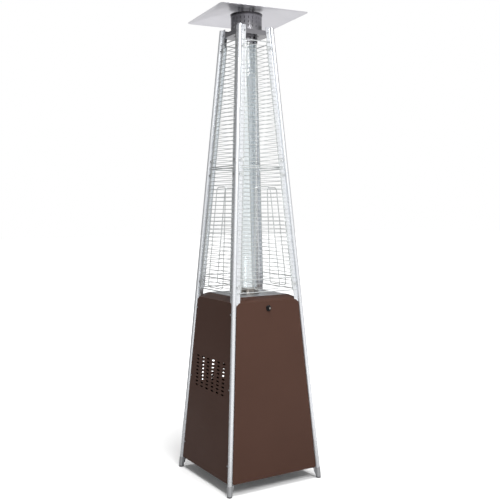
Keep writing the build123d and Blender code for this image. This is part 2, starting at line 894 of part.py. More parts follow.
def knob():
    """The control knob: a round skirt that runs in the bezel and a fluted grip."""
    skirt_height = knob_back + knob_grip_step
    skirt = Pos(0, 0, knob_grip_step - skirt_height / 2) * Cylinder(knob_radius, skirt_height)
    grip = Pos(0, 0, knob_out / 2) * Cylinder(knob_grip_radius, knob_out)
    grip = chamfer(grip.edges().sort_by(Axis.Z)[-1], knob_edge)
    solid = skirt + grip
    for index in range(knob_flute_count):
        place = Rot(0, 0, full_turn * index / knob_flute_count) * Pos(knob_grip_radius, 0, knob_out)
        solid -= place * Cylinder(knob_flute_radius, 2 * (knob_out - knob_grip_step) - knob_edge)
    solid -= Pos(0, 0, knob_out) * Cylinder(knob_cap_radius, 2 * knob_cap_recess)
    bore_middle = -knob_back + knob_bore_depth / 2
    solid -= Pos(0, 0, bore_middle) * Cylinder(stem_radius, knob_bore_depth)
    return knob_place * solid


def knob_cap():
    """The pale button in the middle of the knob, sitting in its recess."""
    height = knob_cap_recess + knob_cap_out
    cap = Pos(0, 0, knob_out - knob_cap_recess + height / 2) * Cylinder(knob_cap_radius, height)
    cap = chamfer(cap.edges().sort_by(Axis.Z)[-1], knob_cap_recess / 2)
    return knob_place * cap


def knob_bezel():
    """The black ring around the knob, clipped into the door."""
    rim = Pos(0, 0, bezel_out / 2) * Cylinder(bezel_radius, bezel_out)
    rim = chamfer(rim.edges().sort_by(Axis.Z)[-1], bezel_edge)
    neck = Pos(0, 0, -bezel_back / 2) * Cylinder(bezel_neck, bezel_back)
    return knob_place * (rim + neck - Cylinder(bezel_bore, 2 * overrun))


def gas_inlet():
    """The hose nipple under the valve, with three barbs."""
    middle = valve_front - valve_neck_length / 2 - valve_body_width / 2
    top = -valve_body_drop - valve_body_height / 2
    place = knob_place * Pos(0, top, middle) * Rot(90, 0, 0)
    hexagon = extrude(RegularPolygon(inlet_radius, 6), inlet_hex_height)
    body = hexagon + extrude(Circle(inlet_barb_radius), inlet_length)
    step = (inlet_length - inlet_hex_height) / 4
    for index in range(3):
        barb = Cone(inlet_barb_radius + inlet_barb_step, inlet_barb_radius, step)
        body += Pos(0, 0, inlet_hex_height + step * (index + 3 / 2)) * barb
    body -= Cylinder(inlet_bore, 4 * inlet_length)
    return place * body


def bent_pipe(points, bend, radius, bore):
    """A round pipe along straight runs joined by arcs."""
    route = FilletPolyline(*points, radius=bend)
    section = Plane(route @ 0, z_dir=route % 0) * (Circle(radius) - Circle(bore))
    return sweep(section, route)


def supply_pipe():
    """The gas pipe from the valve's union to the jet."""
    start = -box_half + outlet_reach
    points = [
        (0, start, outlet_z),
        (0, pipe_drop_y, outlet_z),
        (0, pipe_drop_y, pipe_low_z),
        (0, pipe_drop_y / 3, pipe_low_z),
    ]
    elbow_bend = injector_bottom_z - pipe_low_z
    tail = [
        (0, pipe_drop_y / 3, pipe_low_z),
        (0, 0, pipe_low_z),
        (0, 0, injector_bottom_z),
    ]
    long_run = bent_pipe(points, pipe_bend, pipe_radius, pipe_bore)
    return long_run + bent_pipe(tail, elbow_bend * 2 / 3, pipe_radius, pipe_bore)


def pilot_pipe():
    """The thin pipe from the valve's side to the pilot burner."""
    side_x = -valve_body_width / 2
    points = [
        (side_x, pilot_pipe_start_y, pilot_pipe_z),
        (pilot_x, pilot_pipe_start_y, pilot_pipe_z),
        (pilot_x, pilot_y, pilot_pipe_z),
        (pilot_x, pilot_y, ring_foot_z - service_stub),
    ]
    return bent_pipe(points, pilot_pipe_bend, pilot_pipe_radius, pilot_pipe_bore)


def tilt_switch():
    """The safety switch on the front wall of the burner box, which shuts the gas off in a fall."""
    body = Box(tilt_switch_width, tilt_switch_depth, tilt_switch_height)
    body = fillet(body.edges().filter_by(Axis.Y), tilt_switch_edge)
    ears = Pos(0, (tilt_switch_depth - tilt_ear_sheet) / 2, 0)
    body += ears * Box(tilt_switch_width + 2 * tilt_ear_width, tilt_ear_sheet, tilt_switch_height / 2)
    return Pos(tilt_switch_x, -box_half - tilt_switch_depth / 2, tilt_switch_z) * body


def without_air_slots(collar, middle_z):
    """The collar with a row of air slots cut through it at a height."""
    slot = Box(4 * lower_ring_flange_radius, air_slot_width, air_slot_height)
    for index in range(air_slot_count // 2):
        turn = Rot(0, 0, full_turn * (index + 1 / 2) / air_slot_count)
        collar -= Pos(0, 0, middle_z) * turn * slot
    return collar


def lower_tube_ring():
    """The collar that the glass tube stands in, with air slots under the glass."""
    bore = glass_radius + glass_clearance
    outer = bore + lower_ring_wall
    flange_top = ring_foot_z + lower_ring_flange
    body = ring(lower_ring_flange_radius, bore, ring_foot_z, flange_top)
    body += ring(outer, bore, ring_foot_z, ring_foot_z + lower_ring_height)
    ledge = ring_foot_z + lower_ring_ledge_rise
    body += ring(outer, lower_ring_ledge_bore, ledge, ledge + lower_ring_ledge)
    return without_air_slots(body, ring_foot_z + air_slot_rise + air_slot_height / 2)


def glass_tube():
    """The clear tube that the flame rises through."""
    tube = ring(glass_radius, glass_radius - glass_wall, glass_bottom_z, glass_top_z)
    return tube


def upper_tube_ring():
    """The ring under the upper plate whose spigot steadies the top of the glass."""
    spigot = glass_radius - glass_wall - glass_clearance
    bore = spigot - upper_ring_spigot_wall
    body = ring(upper_ring_flange_radius, bore, plate_z - upper_ring_flange, plate_z)
    return body + ring(spigot, bore, plate_z - upper_ring_spigot_length, plate_z)


def upper_glass_collar():
    """The slotted collar that hangs around the top of the glass, under the ring's flange."""
    bore = glass_radius + glass_clearance
    top = plate_z - upper_ring_flange
    collar = ring(bore + lower_ring_wall, bore, top - upper_collar_height, top)
    return without_air_slots(collar, top - upper_collar_slot_drop - air_slot_height / 2)


def upper_plate():
    """The square pan that ties the post tops together and carries the flame screen."""
    pan = inside(-fin_out, plate_z, plate_flange_top_z)
    pan -= inside(-fin_out - plate_sheet, plate_z + plate_sheet, plate_flange_top_z)
    pan -= rod(plate_bore_radius, plate_z - overrun, plate_z + overrun)
    pan -= post_notches(plate_z - overrun, plate_flange_top_z + overrun)
    for side in side_turns:
        for inset, z, seat in plate_screws:
            pan -= [on_side(side, screw_hole(sign, inset, z)) for sign in (-1, 1)]
    return pan


def flame_screen():
    """The four curved, slotted sheets that the hot gas leaves through, each with its foot."""
    foot_z = plate_z + plate_sheet
    body = ring(screen_radius, screen_radius - screen_sheet, foot_z, screen_top_z)
    body += ring(screen_foot_radius, screen_radius - screen_sheet, foot_z, foot_z + screen_sheet)
    slot = Pos(screen_radius, 0) * Box(4 * screen_sheet, screen_slot_width, screen_slot_height)
    step = full_turn / screen_slot_columns
    cuts = []
    for row in range(screen_slot_rows):
        z = screen_slot_low_z + screen_slot_pitch * row
        for index in range(screen_slot_columns):
            cuts.append(Pos(0, 0, z) * Rot(0, 0, step * (index + 1 / 2)) * slot)
    height = screen_top_z - plate_z
    seam = Pos(0, 0, foot_z) * Box(4 * screen_foot_radius, screen_seam_gap, 2 * height)
    cuts += [Rot(0, 0, full_turn / 8) * seam, Rot(0, 0, full_turn * 3 / 8) * seam]
    return body - cuts


def screen_lid():
    """The cap of the flame screen, with a short skirt and a rim."""
    bore = screen_radius + cap_clearance
    outer = bore + cap_sheet
    body = ring(outer, bore, cap_top_z - cap_skirt, cap_top_z)
    body += rod(cap_rim_radius, cap_top_z - cap_sheet, cap_top_z)
    inner = screen_radius - screen_sheet - cap_clearance
    body += ring(bore, inner, screen_top_z, cap_top_z)
    for index in range(stud_count):
        turn = Rot(0, 0, full_turn * index / stud_count)
        body -= turn * rod(stud_radius + stud_clearance, cap_top_z - overrun, cap_top_z + overrun, stud_ring)
    return body


reflector_top_z = reflector_centre_z + reflector_sheet


def reflector_form(top_z):
    """A hipped form with level edges, flat and nearly round in the middle, that reaches past the sheet."""
    wide_half = reflector_half + overrun
    slope = reflector_edge_drop / (reflector_half - reflector_flat_half)
    wide_z = top_z - slope * (wide_half - reflector_flat_half)
    flat = RectangleRounded(2 * reflector_flat_half, 2 * reflector_flat_half, reflector_flat_corner)
    wide = RectangleRounded(2 * wide_half, 2 * wide_half, reflector_corner)
    return loft([Pos(0, 0, wide_z) * wide, Pos(0, 0, top_z) * flat], ruled=True)


def reflector():
    """The square reflector: a thin sheet, flat in the middle and sloping down to four level edges."""
    square = RectangleRounded(2 * reflector_half, 2 * reflector_half, reflector_corner)
    low = reflector_centre_z - reflector_edge_drop - reflector_sheet
    prism = Pos(0, 0, low) * extrude(square, reflector_edge_drop + 3 * reflector_sheet)
    dish = (reflector_form(reflector_top_z) & prism) - reflector_form(reflector_centre_z)
    for index in range(stud_count):
        turn = Rot(0, 0, full_turn * index / stud_count - reflector_turn_deg)
        low, high = reflector_centre_z - overrun, reflector_centre_z + overrun
        dish -= turn * rod(stud_radius + stud_clearance, low, high, stud_ring)
    return Rot(0, 0, reflector_turn_deg) * dish


def reflector_studs():
    """The shouldered studs between the screen's cap and the reflector."""
    studs = []
    under = cap_top_z - cap_sheet - washer_sheet - nut_height
    for index in range(stud_count):
        stud = rod(stud_radius, under - stud_rise / 4, reflector_top_z + stud_rise, stud_ring)
        stud += rod(stud_shoulder_radius, cap_top_z, reflector_centre_z, stud_ring)
        studs.append(Rot(0, 0, full_turn * index / stud_count) * stud)
    return studs


def reflector_nuts():
    """A nut with its washer at both ends of each stud."""
    nuts = []
    for index in range(stud_count):
        turn = Rot(0, 0, full_turn * index / stud_count)
        for seat, way in ((reflector_top_z, 1), (cap_top_z - cap_sheet, -1)):
            washer = extrude(Circle(washer_radius), washer_sheet)
            nut = Pos(0, 0, washer_sheet) * extrude(RegularPolygon(nut_radius, 6), nut_height)
            solid = washer + nut - Cylinder(stud_radius + stud_clearance, overrun)
            flip = Rot(0, 0, 0) if way > 0 else Rot(180, 0, 0)
            nuts.append(turn * Pos(stud_ring, 0, seat) * flip * solid)
    return nuts


def front_wire(z, radius):
    """A level wire across the front face, whose ends lie on the posts' fins."""
    half = half_at(z) - guard_wire_inset
    out = fin_out + guard_wire_gap + radius
    return on_front(0, z, out) * Rot(0, 90, 0) * Cylinder(radius, 2 * half)


def side_rod(sign, low, high):
    """One slanting side rod of a guard, behind the wires and just inside the fin."""
    start = (sign * (half_at(low) - guard_rod_inset), low * slant)
    end = (sign * (half_at(high) - guard_rod_inset), high * slant)
    line = on_front(0, 0, guard_rod_out) * Line(start, end)
    return sweep(Plane(line @ 0, z_dir=line % 0) * Circle(guard_rod_radius), line)


def guard_tab(sign, inset, z):
    """The flat tab by which a guard is screwed to a fin."""
    low_x, high_x = sorted(sign * (half_at(z) - edge) for edge in (guard_tab_inset, guard_rod_inset))
    tab = front_block(
        low_x, high_x,
        z - guard_tab_height / 2, z + guard_tab_height / 2,
        fin_out, fin_out + guard_tab_sheet,
    )
    return tab - screw_hole(sign, inset, z)


def guard(low, high, thick_bars, screws):
    """Half of a wire guard of the front: two side rods, thick bars and level wires between them."""
    pieces = [side_rod(sign, low, high) for sign in (-1, 1)]
    pieces += [front_wire(z, guard_bar_radius) for z in thick_bars]
    step = guard_step(low, high)
    for index in range(1, round((high - low) / step)):
        z = low + index * step
        if min(abs(z - bar) for bar in thick_bars) > step / 2:
            pieces.append(front_wire(z, guard_wire_radius))
    tabs = [guard_tab(sign, inset, z) for inset, z, seat in screws for sign in (-1, 1)]
    return pieces[0] + pieces[1:] + tabs


def guard_loop():
    """The closed tapering wire loop behind the level wires of a lower guard."""
    out = fin_out + guard_wire_gap - loop_wire_radius * 3 / 4
    corners = [
        (-loop_bottom_half, loop_bottom_z * slant),
        (-loop_top_half, loop_top_z * slant),
        (loop_top_half, loop_top_z * slant),
        (loop_bottom_half, loop_bottom_z * slant),
    ]
    route = on_front(0, 0, out) * FilletPolyline(*corners, radius=loop_corner, close=True)
    return sweep(Plane(route @ 0, z_dir=route % 0) * Circle(loop_wire_radius), route)


lower_bars = [guard_bottom_z, guard_second_bar_z, lower_guard_high]
upper_bars = [upper_guard_low, guard_top_z]
lower_guard_front = guard(guard_bottom_z, lower_guard_high, lower_bars, lower_guard_screws) + guard_loop()
upper_guard_front = guard(upper_guard_low, guard_top_z, upper_bars, upper_guard_screws)


def frame_screws():
    """Every screw of the frame: panels, guards and the upper plate."""
    screws = []
    for side in side_turns:
        for inset, z, seat in screws_on(side):
            screws += [on_side(side, screw(sign, inset, z, seat)) for sign in (-1, 1)]
    return screws


def write(name, shape):
    """Writes one node, as one solid or as a group of separate solids."""
    group = Compound(children=list(shape)) if isinstance(shape, list) else shape
    solids = group.solids()
    whole = Compound(children=list(solids)) if len(solids) > 1 else solids[0]
    whole.label = name
    export_step(whole, f"parts/{name}.step")


for corner_name in front_left_turns:
    write(f"lower_post_{corner_name}", post_segment(corner_name, foot_seat_z, lower_joint_z, fin_bottom_z))
    middle = post_segment(corner_name, lower_joint_z, upper_joint_z, lower_joint_z)
    write(f"middle_post_{corner_name}", middle)
    write(f"upper_post_{corner_name}", post_segment(corner_name, upper_joint_z, post_top_z, upper_joint_z))
write("post_sleeves", joint_sleeves())
write("foot_caps", four(foot_cap()))
write("foot_pads", four(foot_pad()))
write("base_plate", base_plate())
for side_name in ("left", "right", "rear"):
    write(f"{side_name}_panel", panel(side_name))
write("front_door", front_door())
write("door_hinge_brackets", both(hinge_bracket()))
write("door_hinge_pins", both(hinge_pin()))
write("door_magnets", door_magnets())
write("frame_screws", frame_screws())
write("top_lid", top_lid())
write("burner_deck", burner_deck())
write("burner_box", burner_box())
write("burner_head", burner_head())
write("burner_injector", burner_injector())
write("pilot_hood", pilot_hood())
write("thermocouple", thermocouple())
write("igniter_electrode", igniter_electrode())
write("gas_valve", gas_valve())
write("thrust_collar", thrust_collar())
write("valve_stem", valve_stem())
write("knob", knob())
write("knob_cap", knob_cap())
write("knob_bezel", knob_bezel())
write("gas_inlet", gas_inlet())
write("supply_pipe", supply_pipe())
write("pilot_pipe", pilot_pipe())
write("tilt_switch", tilt_switch())
write("lower_tube_ring", lower_tube_ring())
write("glass_tube", glass_tube())
write("upper_tube_ring", upper_tube_ring())
write("upper_glass_collar", upper_glass_collar())
write("upper_plate", upper_plate())
write("flame_screen", flame_screen())
write("screen_lid", screen_lid())
write("reflector", reflector())
write("reflector_studs", reflector_studs())
write("reflector_nuts", reflector_nuts())
for side_name in side_turns:
    write(f"lower_guard_{side_name}", on_side(side_name, lower_guard_front))
    write(f"upper_guard_{side_name}", on_side(side_name, upper_guard_front))
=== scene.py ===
# %% [markdown]
# # A pyramid gas heater, dressed in Blender
#
# The heater is already built as solids: leaning corner posts, a brown base with a tilting door, a glass
# tube behind wire guards, and a square reflector. This lesson gives those solids their finishes. It
# models again the pieces whose look depends on fine shape, which are the reflector, the glass tube, the
# knob and its cap, and it gives every other solid a twin with softened edges and smooth shading.
#
# The first cell loads the frame. Its nodes come in selected, so everything is deselected before any new
# piece is made, because an operator works on all that is selected.

# %% Load the frame
import json
import math

import bmesh
import bpy
from mathutils import Matrix, Vector


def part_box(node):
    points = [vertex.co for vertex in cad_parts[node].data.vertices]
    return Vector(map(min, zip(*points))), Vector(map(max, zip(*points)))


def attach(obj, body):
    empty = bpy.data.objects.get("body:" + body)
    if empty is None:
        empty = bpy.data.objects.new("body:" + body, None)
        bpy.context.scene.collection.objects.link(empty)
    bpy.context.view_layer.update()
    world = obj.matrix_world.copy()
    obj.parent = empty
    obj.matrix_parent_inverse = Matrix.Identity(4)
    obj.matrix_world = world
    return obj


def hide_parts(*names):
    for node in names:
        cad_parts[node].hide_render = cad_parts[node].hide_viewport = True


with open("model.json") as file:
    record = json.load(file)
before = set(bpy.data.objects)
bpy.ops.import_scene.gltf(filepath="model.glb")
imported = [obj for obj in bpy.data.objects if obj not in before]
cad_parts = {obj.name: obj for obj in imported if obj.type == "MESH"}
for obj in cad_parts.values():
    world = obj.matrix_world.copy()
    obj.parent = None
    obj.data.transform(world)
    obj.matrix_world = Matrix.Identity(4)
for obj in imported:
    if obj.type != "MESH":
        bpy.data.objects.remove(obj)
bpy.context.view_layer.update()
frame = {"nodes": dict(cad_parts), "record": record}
bpy.ops.object.select_all(action="DESELECT")

# %% [markdown]
# ## Real sizes
#
# Lengths of the heater are written in millimetres, as a maker would give them, and turned into metres
# once. The posts lean inwards by the same amount on every side, so one small function gives the distance
# from the centre line to a post at any height, and the knob on the leaning door is placed with it.

# %% Sizes of the heater
MM = 0.001
POST_FOOT_HALF = 253 * MM
POST_HEAD_HALF = 88 * MM
POST_HEAD_Z = 2204 * MM
LEAN = (POST_FOOT_HALF - POST_HEAD_HALF) / POST_HEAD_Z
LEAN_ANGLE = math.atan(LEAN)


def half_at(z):
    """The distance from the centre line to the plane of the post axes, at a height."""
    return POST_FOOT_HALF - LEAN * z


print("the sides lean by", round(math.degrees(LEAN_ANGLE), 2), "degrees")

# %% [markdown]
# ## The camera
#
# The camera stands about 3.8 m from the middle of the heater and 1.3 m above the floor. It is about 31
# degrees round to the left of the door, so it sees the door and the left side, and it looks slightly
# down. A long lens keeps the pyramid's edges nearly straight.

# %% Place the camera
CAMERA_AZIMUTH = math.radians(30.95)
CAMERA_HEADING = math.radians(-31.15)
CAMERA_TILT = math.radians(86.739)
CAMERA_ROLL = math.radians(-0.25)
CAMERA_DISTANCE = 3762.2 * MM
CAMERA_HEIGHT = 1330.8 * MM
LENS_MM = 54.52
SENSOR_MM = 36
PICTURE_SHIFT = 0.0025

bpy.ops.object.camera_add()
camera = bpy.context.object
camera.name = "camera"
camera.data.lens = LENS_MM
camera.data.sensor_width = SENSOR_MM
camera.data.shift_y = PICTURE_SHIFT
turn = (
    Matrix.Rotation(CAMERA_HEADING, 4, "Z")
    @ Matrix.Rotation(CAMERA_TILT, 4, "X")
    @ Matrix.Rotation(CAMERA_ROLL, 4, "Z")
)
place = Vector((
    -math.sin(CAMERA_AZIMUTH) * CAMERA_DISTANCE,
    -math.cos(CAMERA_AZIMUTH) * CAMERA_DISTANCE,
    CAMERA_HEIGHT,
))
camera.matrix_world = Matrix.Translation(place) @ turn
bpy.context.scene.camera = camera
print("camera at", [round(v, 3) for v in place])

# %% [markdown]
# ## Colour and nodes
#
# A colour is written as a hex value, as a paint maker gives it. Blender mixes light in linear values, so
# one function turns the hex value into those. A second small function adds a node, sets it and links it:
# every material below is built with it. Most finishes end in the same three sockets, colour, roughness
# and relief, so a last one links those.

# %% Helpers for materials
WHITE = "#ffffff"


def linear(hex_colour):
    """A hex colour as linear red, green, blue and alpha."""
    values = [int(hex_colour[i:i + 2], 16) / 255 for i in (1, 3, 5)]
    return [v / 12.92 if v <= 0.04045 else ((v + 0.055) / 1.055) ** 2.4 for v in values] + [1.0]


def add_node(tree, kind, inputs=None, **settings):
    """Adds a node with its settings. An input is a value, or the socket that feeds it."""
    node = tree.nodes.new(kind)
    for name, value in settings.items():
        setattr(node, name, value)
    for name, value in (inputs or {}).items():
        if isinstance(value, bpy.types.NodeSocket):
            tree.links.new(value, node.inputs[name])
        else:
            node.inputs[name].default_value = value
    return node


def new_material(name):
    """An empty node material, its tree and its Principled shader."""
    material = bpy.data.materials.new(name)
    material.use_nodes = True
    tree = material.node_tree
    return material, tree, tree.nodes["Principled BSDF"]


def set_constants(shader, **constants):
    """Sets the shader's own sockets, whose names are written with _ for a space."""
    for name, value in constants.items():
        shader.inputs[name.replace("_", " ")].default_value = value


def link_finish(tree, shader, tint, gloss, bump):
    """Links a finish's colour, roughness and relief to its shader."""
    for socket, node in (("Base Color", tint), ("Roughness", gloss), ("Normal", bump)):
        tree.links.new(node.outputs[0], shader.inputs[socket])


print("the grey #bcbcbc is", round(linear("#bcbcbc")[0], 2), "of white in linear light")

# %% [markdown]
# ## The floor
#
# The floor is a matt white sheet that keeps the heater's soft shadow. Near the heater it is lit like any
# surface. Further out it also glows, up to pure white, so it has no horizon. The light that it throws
# back up onto the heater is that of a light grey floor, because a white one would brighten the lower
# panels.
#
# Glossy paint and metal below the height of the camera mirror the floor, and the side away from the lamps
# mirrors the part of the floor behind it. That part glows less in mirror images, so the left side stays
# darker than the door. Light Path says which kind of ray meets the floor, and Object coordinates say
# where.

# %% Floor
FLOOR_SIZE = 60.0
FLOOR_SEEN, FLOOR_AS_A_LAMP = "#f8f8f8", "#9a9a9a"
GLOW_FROM, GLOW_FULL = 0.5, 2.2
NEAR_GLOW = 0.04
MIRRORED_GLOW, SHADED_GLOW = 0.7, 0.06
AWAY_FROM_SHADE = (0.894, -0.447, 0.0)
SHADE_FULL, SHADE_ENDS = -0.8, -0.15

bpy.ops.mesh.primitive_plane_add(size=FLOOR_SIZE)
floor = bpy.context.object
floor.name = "floor"
floor_paint, tree, shader = new_material("matt white studio floor")
set_constants(shader, Roughness=0.9, Specular_IOR_Level=0.1)
path = add_node(tree, "ShaderNodeLightPath")
coords = add_node(tree, "ShaderNodeTexCoord")
distance = add_node(tree, "ShaderNodeVectorMath", {0: coords.outputs["Object"]}, operation="LENGTH")
fade = add_node(tree, "ShaderNodeMapRange", {
    "Value": distance.outputs["Value"], "From Min": GLOW_FROM, "From Max": GLOW_FULL,
    "To Min": NEAR_GLOW, "To Max": 1.0}, interpolation_type="SMOOTHSTEP")
seen = add_node(tree, "ShaderNodeMath",
                {0: path.outputs["Is Camera Ray"], 1: path.outputs["Is Transmission Ray"]},
                operation="MAXIMUM")
floor_colour = add_node(tree, "ShaderNodeMixRGB",
                        {0: seen.outputs[0], 1: linear(FLOOR_AS_A_LAMP), 2: linear(FLOOR_SEEN)})
tree.links.new(floor_colour.outputs[0], shader.inputs["Base Color"])
heading = add_node(tree, "ShaderNodeVectorMath", {0: coords.outputs["Object"]}, operation="NORMALIZE")
facing = add_node(tree, "ShaderNodeVectorMath", {0: heading.outputs[0], 1: AWAY_FROM_SHADE},
                  operation="DOT_PRODUCT")
mirror_glow = add_node(tree, "ShaderNodeMapRange", {
    "Value": facing.outputs["Value"], "From Min": SHADE_FULL, "From Max": SHADE_ENDS,
    "To Min": SHADED_GLOW, "To Max": MIRRORED_GLOW}, interpolation_type="SMOOTHSTEP")
in_metal = add_node(tree, "ShaderNodeMath", {0: path.outputs["Is Glossy Ray"], 1: mirror_glow.outputs[0]},
                    operation="MULTIPLY")
share = add_node(tree, "ShaderNodeMath", {0: seen.outputs[0], 1: in_metal.outputs[0]}, operation="MAXIMUM")
strength = add_node(tree, "ShaderNodeMath", {0: fade.outputs[0], 1: share.outputs[0]}, operation="MULTIPLY")
glow = add_node(tree, "ShaderNodeEmission", {"Color": linear(WHITE), "Strength": strength.outputs[0]})
both = add_node(tree, "ShaderNodeAddShader", {0: shader.outputs[0], 1: glow.outputs[0]})
tree.links.new(both.outputs[0], tree.nodes["Material Output"].inputs["Surface"])
floor.data.materials.append(floor_paint)
print("floor", FLOOR_SIZE, "m wide")

# %% [markdown]
# ## The world
#
# The world lights the heater gently from all around. To the eye and through glass it is plain white.
# Metal mirrors it, and a metal with only white around it looks flat, so for reflections the world is
# nearly white in front and grey behind, as in a studio with its lamps by the camera.

# %% World
WORLD_LIGHT = 0.26
BRIGHT_SIDE = (-0.174, -0.985, 0.0)
BRIGHTEST, DARKEST = 0.98, 0.32
DARK_FULL, BRIGHT_FULL = -0.25, 0.85

world = bpy.data.worlds.new("studio")
bpy.context.scene.world = world
world.use_nodes = True
tree = world.node_tree
tree.nodes.clear()
path = add_node(tree, "ShaderNodeLightPath")
coords = add_node(tree, "ShaderNodeTexCoord")
towards_bright = add_node(tree, "ShaderNodeVectorMath", {0: coords.outputs["Generated"], 1: BRIGHT_SIDE},
                          operation="DOT_PRODUCT")
studio = add_node(tree, "ShaderNodeMapRange", {
    "Value": towards_bright.outputs["Value"], "From Min": DARK_FULL, "From Max": BRIGHT_FULL,
    "To Min": DARKEST, "To Max": BRIGHTEST}, interpolation_type="SMOOTHSTEP")
soft_light, mirrored, white_card = [
    add_node(tree, "ShaderNodeBackground", {"Color": linear(WHITE), "Strength": strength})
    for strength in (WORLD_LIGHT, studio.outputs[0], 1.0)]
for_metal = add_node(tree, "ShaderNodeMixShader",
                     {0: path.outputs["Is Glossy Ray"], 1: soft_light.outputs[0], 2: mirrored.outputs[0]})
white_seen = add_node(tree, "ShaderNodeMath",
                      {0: path.outputs["Is Camera Ray"], 1: path.outputs["Is Transmission Ray"]},
                      operation="MAXIMUM")
choice = add_node(tree, "ShaderNodeMixShader",
                  {0: white_seen.outputs[0], 1: for_metal.outputs[0], 2: white_card.outputs[0]})
add_node(tree, "ShaderNodeOutputWorld", {"Surface": choice.outputs[0]})
print("world nodes", len(tree.nodes))

# %% [markdown]
# ## The lamps
#
# Two large lamps do most of the work: one hangs high in front and lights the door, the other hangs above
# the heater and draws its soft shadow close around the feet. The left side gets the world's light and
# only a weak lamp, and stays darker, as on the real heater. A narrow strip in front adds a thin upright
# highlight to the lower part of the round head. Large lamps give soft shadows, and their mirror images in
# the posts are mild.

# %% Lamps
HEATER_MIDDLE = (0, 0, POST_HEAD_Z / 2)
HEATER_HEAD = (0, 0, POST_HEAD_Z)
# Place, the point that it faces, width and height in metres, and power in watts.
LAMPS = {
    "key lamp": ((-0.5, -3.6, 4.4), HEATER_MIDDLE, 2.2, 2.2, 196),
    "side lamp": ((-5.0, -0.6, 2.6), HEATER_MIDDLE, 3.0, 3.0, 5),
    "top lamp": ((0.0, -0.3, 5.6), HEATER_MIDDLE, 2.6, 2.6, 260),
    "strip lamp": ((-0.75, -5.0, 3.3), HEATER_HEAD, 0.45, 2.2, 9),
}
for name, (position, target, width, height, power) in LAMPS.items():
    bpy.ops.object.light_add(type="AREA", location=position)
    lamp = bpy.context.object
    lamp.name = name
    lamp.data.shape = "RECTANGLE"
    lamp.data.size = width
    lamp.data.size_y = height
    lamp.data.energy = power
    lamp.rotation_mode = "QUATERNION"
    lamp.rotation_quaternion = (Vector(target) - Vector(position)).to_track_quat("-Z", "Y")
bpy.context.scene.view_settings.view_transform = "Standard"
print("lamps", len(bpy.data.lights))

# %% [markdown]
# ## How the metals are built up
#
# Every metal here has the same build-up: fine lines along the direction in which it was drawn, turned or
# brushed, a little variation in gloss from handling, and a faint relief. One function makes them all, and
# takes the colour, the gloss and the line direction. The real lines are about 0.2 mm wide, too fine to
# show from this far, so they are drawn about ten times as coarse.

# %% One function for the metals
LINE_WIDTH = 2.2 * MM
LINE_LENGTH = 160 * MM
SMUDGE_SIZE = 90 * MM
LINE_RELIEF = 0.1 * MM
LEAST_MARKED, MOST_MARKED = 0.1, 0.4


def brushed_metal(name, colour, darker, roughness, spread, relief, along="Z", metallic=1.0):
    """A metal with fine lines along one axis: colour varies to darker, roughness by spread."""
    material, tree, shader = new_material(name)
    coords = add_node(tree, "ShaderNodeTexCoord")
    across, down = 1 / LINE_WIDTH, 1 / LINE_LENGTH
    scale = {"X": (down, across, across), "Y": (across, down, across), "Z": (across, across, down)}[along]
    stretch = add_node(tree, "ShaderNodeMapping", {"Vector": coords.outputs["Object"], "Scale": scale})
    lines = add_node(tree, "ShaderNodeTexNoise",
                     {"Vector": stretch.outputs[0], "Scale": 1.0, "Detail": 3.0})
    smudges = add_node(tree, "ShaderNodeTexNoise",
                       {"Vector": coords.outputs["Object"], "Scale": 1 / SMUDGE_SIZE, "Detail": 4.0})
    mixed = add_node(tree, "ShaderNodeMath", {0: lines.outputs["Fac"], 1: smudges.outputs["Fac"]},
                     operation="MULTIPLY")
    tint = add_node(tree, "ShaderNodeMixRGB", {0: mixed.outputs[0], 1: linear(colour), 2: linear(darker)})
    gloss = add_node(tree, "ShaderNodeMapRange", {
        "Value": mixed.outputs[0], "From Min": LEAST_MARKED, "From Max": MOST_MARKED,
        "To Min": roughness - spread, "To Max": roughness + spread})
    bump = add_node(tree, "ShaderNodeBump",
                    {"Height": lines.outputs["Fac"], "Strength": relief, "Distance": LINE_RELIEF})
    set_constants(shader, Metallic=metallic)
    link_finish(tree, shader, tint, gloss, bump)
    return material


print("lines per metre", round(1 / LINE_WIDTH))

# %% [markdown]
# ## The heater's metals
#
# Each metal starts from its usual colour and gloss and is then matched to the heater. The posts and the
# wires are a little less than fully metallic, because an anodised or plated skin also scatters some
# light, which makes them look paler.

# %% Make the metals
# Anodised aluminium is silky and nearly white, with pale and soft reflections along the post.
satin_aluminium = brushed_metal("satin anodised aluminium posts", "#f0f2f5", "#dfe3e8", 0.28, 0.04, 0.06,
                                metallic=0.85)
# Finely ground stainless steel is mid grey, and its reflections are clear but dim.
satin_steel = brushed_metal("satin stainless steel head", "#939296", "#77767a", 0.22, 0.04, 0.1)
# The deck is the same steel, cleaner and brushed coarser, so it shines broadly and pale.
deck_steel = brushed_metal("satin stainless steel deck", "#dcdde0", "#c8c9cc", 0.36, 0.05, 0.2, along="X")
# Heat turns burner steel warm, dull and blotchy.
burner_steel = brushed_metal("heat-tanned burner steel", "#8f8b86", "#6f6a64", 0.38, 0.08, 0.3)
# Zinc plating is bluish grey with an uneven, half matt shine.
zinc_steel = brushed_metal("zinc-plated sheet steel", "#b4b6b8", "#93979b", 0.42, 0.1, 0.15)
# Nickel plating keeps the thin wires bright and pale against the white.
bright_wire = brushed_metal("nickel-plated guard wire", "#dcdfdf", "#c6caca", 0.3, 0.04, 0.05,
                            metallic=0.85)
# Plated screws are bright, with small clear highlights.
screw_steel = brushed_metal("plated screw steel", "#bfc0c2", "#8f9194", 0.3, 0.06, 0.1)
# Tumbling rounds off a casting's skin and leaves it softly matt.
cast_aluminium = brushed_metal("tumbled aluminium casting", "#c4c5c7", "#a4a5a8", 0.46, 0.08, 0.4)
# Turned brass is yellow and glossy, with fine tool lines.
brass = brushed_metal("turned brass", "#c9a24f", "#9c7a38", 0.3, 0.06, 0.1)
